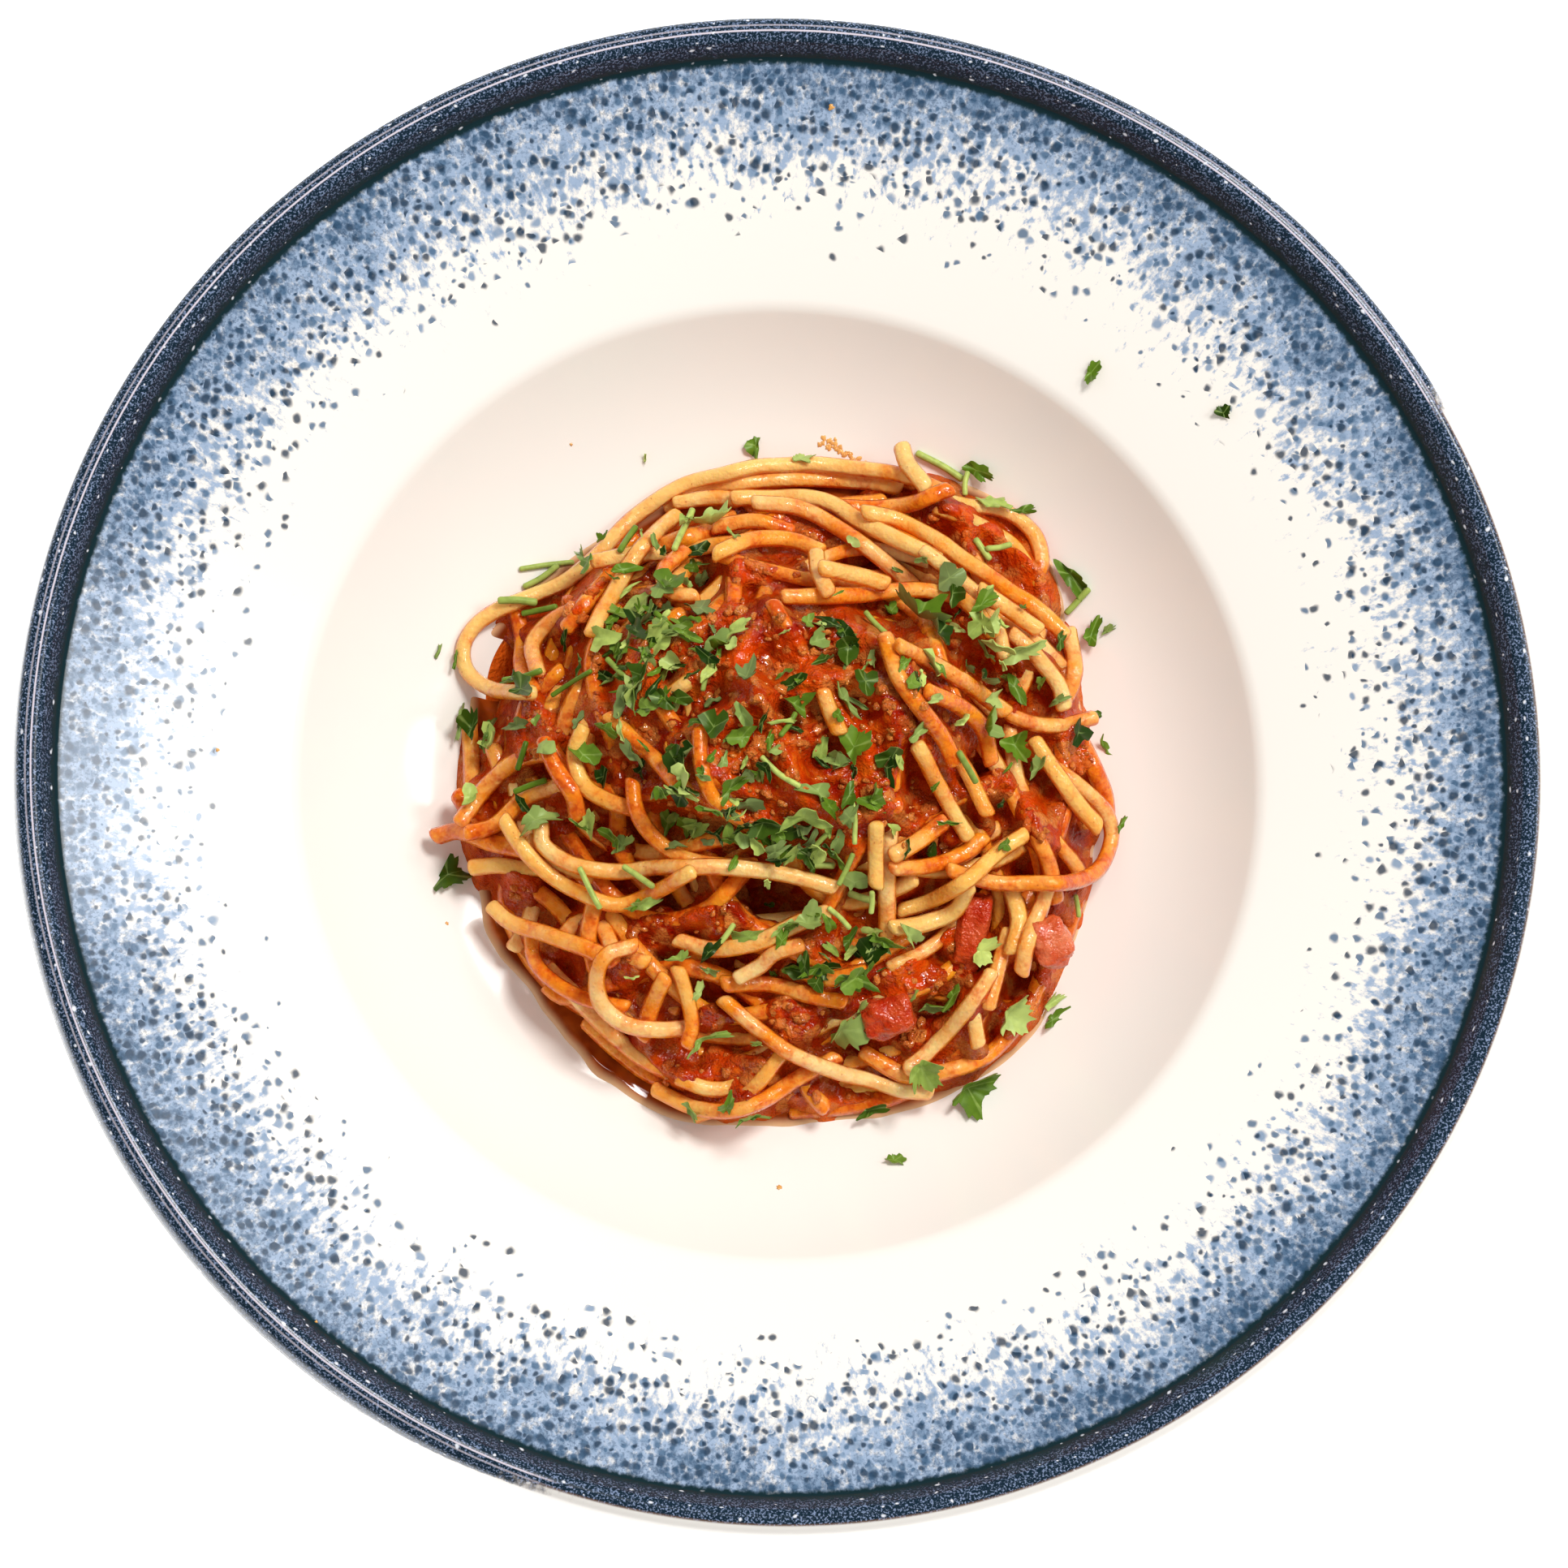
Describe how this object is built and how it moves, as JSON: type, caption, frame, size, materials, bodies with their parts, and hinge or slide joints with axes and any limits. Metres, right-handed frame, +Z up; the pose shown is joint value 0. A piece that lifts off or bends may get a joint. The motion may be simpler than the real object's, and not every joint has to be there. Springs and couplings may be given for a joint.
{
  "type": "spaghetti bolognese",
  "caption": "A two-tiered heap of spaghetti with meat sauce, tomato chunks and a shallow sauce pool, served in the well of its one wide-rimmed pasta plate.",
  "frame": {"origin": "centre of the plate's foot ring, on the surface it stands on", "axes": "+Z up; +X to the right and +Y away from the diner, with the tomato chunks on the near right"},
  "size_m": [0.27, 0.27, 0.0568],
  "materials": {
    "glazed_stoneware": "cream white glaze with blue speckles towards the rim",
    "pool_sauce": "wet, oily, slightly see-through sauce",
    "spaghetti": "moist cooked pasta tinted by sauce",
    "meat_sauce": "moist grainy mince in tomato sauce",
    "tomato": "wet cooked tomato flesh"
  },
  "bodies": {
    "root": {"plate": "glazed_stoneware", "sauce_pool": "pool_sauce", "spaghetti_heap": "spaghetti", "meat_sauce": "meat_sauce", "tomato_chunk_1": "tomato", "tomato_chunk_2": "tomato", "tomato_chunk_3": "tomato"}
  },
  "joints": []
}
